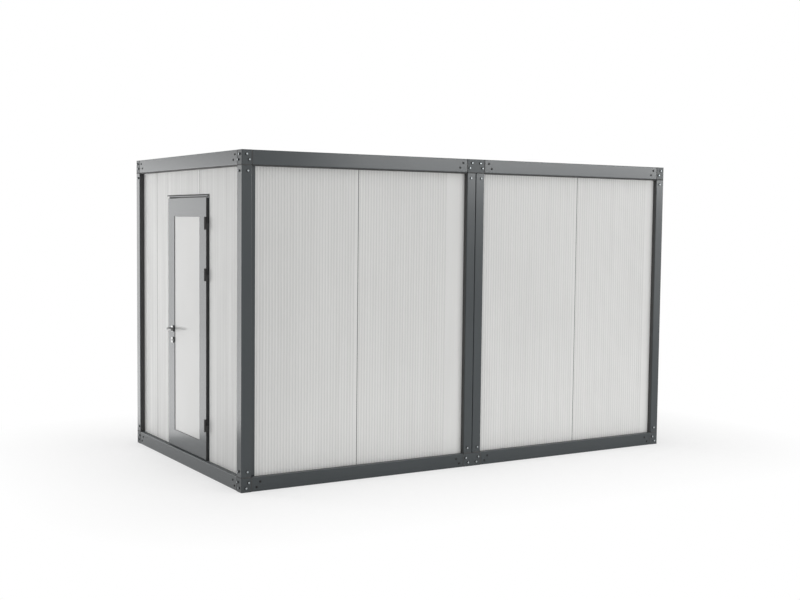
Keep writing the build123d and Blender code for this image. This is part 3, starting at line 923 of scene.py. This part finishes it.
def hinge_fittings():
    """Domed caps on both ends of each hinge barrel, and two screws in each leaf wing."""
    pin = Vector(next(joint["pos_m"] for joint in frame["joints"] if joint["name"] == "door_swing"))
    wing_low, wing_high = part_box("hinge_leaf_halves")
    barrel = pin.x - wing_low.x
    along = along_door_end(wing_high.y) + HINGE_SCREW_INSET
    face = depth_of(stile_low.x) - wing_thickness(wing_high.y)
    # The halves on the leaf have two levels each, those on the frame three
    upper = hinge_levels("hinge_leaf_halves")
    barrel_bottoms = hinge_levels("hinge_frame_halves")[::3]
    leaf_caps, frame_caps = bmesh.new(), bmesh.new()
    screws = []
    for wing_bottom, wing_top, barrel_bottom in zip(upper[::2], upper[1::2], barrel_bottoms):
        turned_cap(leaf_caps, Vector((pin.x, pin.y, wing_top)), barrel, 1)
        turned_cap(frame_caps, Vector((pin.x, pin.y, barrel_bottom)), barrel, -1)
        middle = (wing_bottom + wing_top) / 2
        for lift in (-HINGE_SCREW_SPREAD / 2, HINGE_SCREW_SPREAD / 2):
            screws.append((DOOR_END.point(along, middle + lift, face), DOOR_END.out))
    shaped_piece("hinge_leaf_caps", leaf_caps, "door", HINGE)
    shaped_piece("hinge_frame_caps", frame_caps, "cabin", HINGE)
    fasteners("hinge_screws", screws, HINGE_SCREW, "door", OXIDE, OXIDE)


def key_plugs():
    """A round key plug with a slot on each end of the lock cylinder."""
    centre = (cylinder_low + cylinder_high) / 2
    length = cylinder_high.x - cylinder_low.x + 2 * KEY_PLUG_PROUD
    plugs = bmesh.new()
    bmesh.ops.create_cone(
        plugs, cap_ends=True, segments=KEY_PLUG_SIDES, radius1=KEY_PLUG, radius2=KEY_PLUG,
        depth=length, matrix=Matrix.Translation(centre) @ Matrix.Rotation(pi / 2, 4, "Y"),
    )
    slots = bmesh.new()
    slot_size = Matrix.Diagonal((2 * KEY_SLOT_DEPTH, KEY_SLOT_WIDTH, KEY_SLOT_HEIGHT, 1.0))
    for end in (-1, 1):
        place = centre + Vector((end * (length / 2), 0, 0))
        bmesh.ops.create_cube(slots, size=1.0, matrix=Matrix.Translation(place) @ slot_size)
    rod = work_object("key_plug_rod", as_mesh("key_plug_rod", plugs))
    cutter = work_object("key_slots", as_mesh("key_slots", slots))
    cut = rod.modifiers.new("slots", "BOOLEAN")
    cut.operation = "DIFFERENCE"
    cut.object = cutter
    slotted = kept_result(rod)
    bpy.data.objects.remove(cutter)
    as_piece("key_plugs", slotted, "door", STEEL)


def plate(shape, middle, out, across, width, height, thickness):
    """Add a plate with its back on a face, rounded at both ends."""
    radius = width / 2
    outline = []
    for end, start in ((1, 0.0), (-1, pi)):
        for step in range(PLATE_END_STEPS + 1):
            angle = start + pi * step / PLATE_END_STEPS
            outline.append((radius * cos(angle), end * (height / 2 - radius) + radius * sin(angle)))
    prism(shape, outline, middle, across, UP, out * thickness)


def jamb_inner_face():
    """The lock jamb's face towards the leaf, found among the jamb's own corners."""
    corners = [v.co.y for v in nodes["door_frame_jambs"].data.vertices if v.co.y > stile_high.y]
    return min(corners)


def lock_plates():
    """Face plate with its latch on the leaf's lock edge, and the strike plate on the jamb."""
    lock_edge, jamb_face = stile_high.y, jamb_inner_face()
    inwards = Vector((1, 0, 0))
    to_jamb, to_leaf = Vector((0, 1, 0)), Vector((0, -1, 0))
    leaf_middle = (stile_low.x + stile_high.x) / 2
    lever_height = (lever_low.z + lever_high.z) / 2
    cylinder_height = (cylinder_low.z + cylinder_high.z) / 2
    middle_height = (lever_height + cylinder_height) / 2

    face = bmesh.new()
    middle = Vector((leaf_middle, lock_edge, middle_height))
    plate(face, middle, to_jamb, inwards, PLATE_WIDTH, FACE_PLATE_HEIGHT, FACE_PLATE)
    latch_bottom = lever_height - LATCH_HEIGHT / 2
    latch_corner = Vector((leaf_middle - LATCH_WIDTH / 2, lock_edge, latch_bottom))
    wedge = (
        (0.0, 0.0), (LATCH_WIDTH, 0.0),
        (LATCH_WIDTH, FACE_PLATE + LATCH_PROUD), (0.0, FACE_PLATE + LATCH_TIP),
    )
    prism(face, wedge, latch_corner, inwards, to_jamb, UP * LATCH_HEIGHT)
    shaped_piece("lock_face_plate", face, "door", STEEL)

    strike = bmesh.new()
    middle = Vector((leaf_middle, jamb_face, middle_height))
    plate(strike, middle, to_leaf, inwards, PLATE_WIDTH, STRIKE_HEIGHT, STRIKE_PLATE)
    shaped_piece("lock_strike_plate", strike, "cabin", STEEL)

    leaf_screws = []
    jamb_screws = []
    for end in (-1, 1):
        lift = middle_height + end * (FACE_PLATE_HEIGHT / 2 - PLATE_SCREW_INSET)
        leaf_screws.append((Vector((leaf_middle, lock_edge + FACE_PLATE, lift)), to_jamb))
        lift = middle_height + end * (STRIKE_HEIGHT / 2 - PLATE_SCREW_INSET)
        jamb_screws.append((Vector((leaf_middle, jamb_face - STRIKE_PLATE, lift)), to_leaf))
    fasteners("face_plate_screws", leaf_screws, PLATE_SCREW, "door", OXIDE, ZINC)
    fasteners("strike_plate_screws", jamb_screws, PLATE_SCREW, "cabin", OXIDE, ZINC)


def build_camera():
    """The photograph's camera, turned by its yaw, pitch and roll."""
    right = Vector((cos(CAMERA_YAW), -sin(CAMERA_YAW), 0))
    level = Vector((sin(CAMERA_YAW), cos(CAMERA_YAW), 0))
    ahead = level * cos(CAMERA_PITCH) - UP * sin(CAMERA_PITCH)
    up = right.cross(ahead)
    tilted_right = right * cos(CAMERA_ROLL) + up * sin(CAMERA_ROLL)
    tilted_up = up * cos(CAMERA_ROLL) - right * sin(CAMERA_ROLL)
    data = bpy.data.cameras.new("photo_camera")
    data.lens = CAMERA_LENS
    data.sensor_width = CAMERA_SENSOR
    camera = bpy.data.objects.new("photo_camera", data)
    turn = Matrix((tilted_right, tilted_up, -ahead)).transposed()
    camera.matrix_world = Matrix.Translation(CAMERA_PLACE) @ turn.to_4x4()
    bpy.context.scene.collection.objects.link(camera)
    bpy.context.scene.camera = camera


# Studio floor: half its side, its paint for bounced light, its paint and glow where it is seen near the
# cabin, and the distances between which the seen floor fades to pure white
FLOOR_HALF = 60.0
FLOOR_PAINT = 0.92
FLOOR_SEEN_PAINT = 0.45
FLOOR_SEEN_GLOW = 0.55
FLOOR_FADE_START = 0.1
FLOOR_FADE_END = 1.5

# How brightly the white surround lights the cabin
WORLD_LEVEL = 0.54

# Soft lights: name, place, point faced, width, height, power, and whether diffuse and gloss see it.
# Those for diffuse light the walls, those for gloss lie in the coats' reflections.
SOFTBOXES = (
    ("key_softbox", (4.0, -7.5, 1.0), (0.6, -1.0, 1.0), 5.0, 2.4, 122.0, True, False),
    ("overhead_softbox", (0.3, -2.0, 6.5), (0.3, -2.0, 0.0), 9.0, 7.0, 150.0, True, False),
    ("front_floor_reflector", (0.1, -1.75, 0.02), (0.1, -1.75, 3.0), 4.6, 0.9, 5.5, True, False),
    ("rail_softbox", (6.7, -8.0, 3.25), (0.5, -1.0, 2.4), 7.6, 1.25, 198.0, False, True),
    ("far_corner_softbox", (9.5, -6.5, 2.0), (1.0, -1.0, 1.2), 3.0, 3.6, 74.0, False, True),
    ("door_end_fill", (-6.2, 5.6, 1.9), (-2.0, 0.0, 1.2), 3.0, 3.0, 190.0, True, False),
    ("door_end_softbox", (-6.5, 10.5, 1.5), (-2.0, 0.0, 1.2), 7.0, 3.0, 95.0, False, True),
    ("door_end_floor_reflector", (-4.675, 5.6, 0.02), (-4.675, 5.6, 3.0),
     4.85, 9.0, 235.0, False, True),
)


def seen_directly(graph):
    """1 for camera, glossy and transmission rays, 0 for the light that falls on things."""
    path = graph.node("ShaderNodeLightPath", output="Is Camera Ray")
    glossy = graph.pick(path, "Is Glossy Ray")
    through = graph.pick(path, "Is Transmission Ray")
    return path.math("MAXIMUM", path.math("MAXIMUM", path, glossy), through)


def white_surround():
    """A world that lights the cabin evenly and is pure white to the eye and in reflections."""
    world = bpy.data.worlds.new("white_surround")
    bpy.context.scene.world = world
    world.use_nodes = True
    graph = Graph(world.node_tree)
    graph.tree.nodes.clear()
    seen = seen_directly(graph)
    surround = graph.node(
        "ShaderNodeBackground", {},
        {"Color": grey(1.0), "Strength": WORLD_LEVEL + seen * (1 - WORLD_LEVEL)},
    )
    output = graph.tree.nodes.new("ShaderNodeOutputWorld")
    graph.tree.links.new(surround.socket, output.inputs["Surface"])


def studio_floor():
    """White floor: shaded near the cabin and pure white where it meets the surround."""
    mesh = bpy.data.meshes.new("studio_floor")
    corners = [(-FLOOR_HALF, -FLOOR_HALF, 0), (FLOOR_HALF, -FLOOR_HALF, 0),
               (FLOOR_HALF, FLOOR_HALF, 0), (-FLOOR_HALF, FLOOR_HALF, 0)]
    mesh.from_pydata(corners, [], [(0, 1, 2, 3)])
    floor = bpy.data.objects.new("studio_floor", mesh)
    bpy.context.scene.collection.objects.link(floor)
    paint = bpy.data.materials.new("studio_floor_white")
    paint.use_nodes = True
    graph = Graph(paint.node_tree)
    graph.tree.nodes.clear()
    place = graph.node("ShaderNodeTexCoord", output="Object")
    quadrant = graph.node("ShaderNodeVectorMath", {"operation": "ABSOLUTE"}, {0: place})
    beyond = graph.node(
        "ShaderNodeVectorMath", {"operation": "SUBTRACT"},
        {0: quadrant, 1: (LENGTH / 2, WIDTH / 2, 0)},
    )
    outside = graph.node("ShaderNodeVectorMath", {"operation": "MAXIMUM"}, {0: beyond, 1: (0, 0, 0)})
    reach = graph.node("ShaderNodeVectorMath", {"operation": "LENGTH"}, {0: outside}, output="Value")
    far = graph.node(
        "ShaderNodeMapRange", {},
        {"Value": reach, "From Min": FLOOR_FADE_START, "From Max": FLOOR_FADE_END},
    )
    lit = graph.node("ShaderNodeBsdfDiffuse", {}, {"Color": grey(FLOOR_PAINT)})
    shaded = graph.node("ShaderNodeBsdfDiffuse", {}, {"Color": grey(FLOOR_SEEN_PAINT)})
    lift = graph.node("ShaderNodeEmission", {}, {"Color": grey(1.0), "Strength": FLOOR_SEEN_GLOW})
    near = graph.node("ShaderNodeAddShader", {}, {0: shaded, 1: lift})
    white = graph.node("ShaderNodeEmission", {}, {"Color": grey(1.0), "Strength": 1.0})
    shown = graph.node("ShaderNodeMixShader", {}, {0: far, 1: near, 2: white})
    both = graph.node("ShaderNodeMixShader", {}, {0: seen_directly(graph), 1: lit, 2: shown})
    output = graph.tree.nodes.new("ShaderNodeOutputMaterial")
    graph.tree.links.new(both.socket, output.inputs["Surface"])
    mesh.materials.append(paint)


def softboxes():
    """The soft lights, none of them seen by the camera."""
    for name, place, target, width, height, power, diffuse, gloss in SOFTBOXES:
        data = bpy.data.lights.new(name, "AREA")
        data.shape = "RECTANGLE"
        data.size = width
        data.size_y = height
        data.energy = power
        lamp = bpy.data.objects.new(name, data)
        lamp.location = place
        lamp.rotation_euler = (Vector(target) - Vector(place)).to_track_quat("-Z", "Y").to_euler()
        lamp.visible_camera = False
        lamp.visible_diffuse = diffuse
        lamp.visible_glossy = gloss
        bpy.context.scene.collection.objects.link(lamp)


dress_cad_nodes()
frame_bolts()
return_rubber_and_shade()
door_seals()
head_rubber_and_shade()
seam_sealant()
joint_gaskets()
hinge_fittings()
key_plugs()
lock_plates()
bpy.context.scene.view_settings.view_transform = "Standard"
build_camera()
white_surround()
studio_floor()
softboxes()
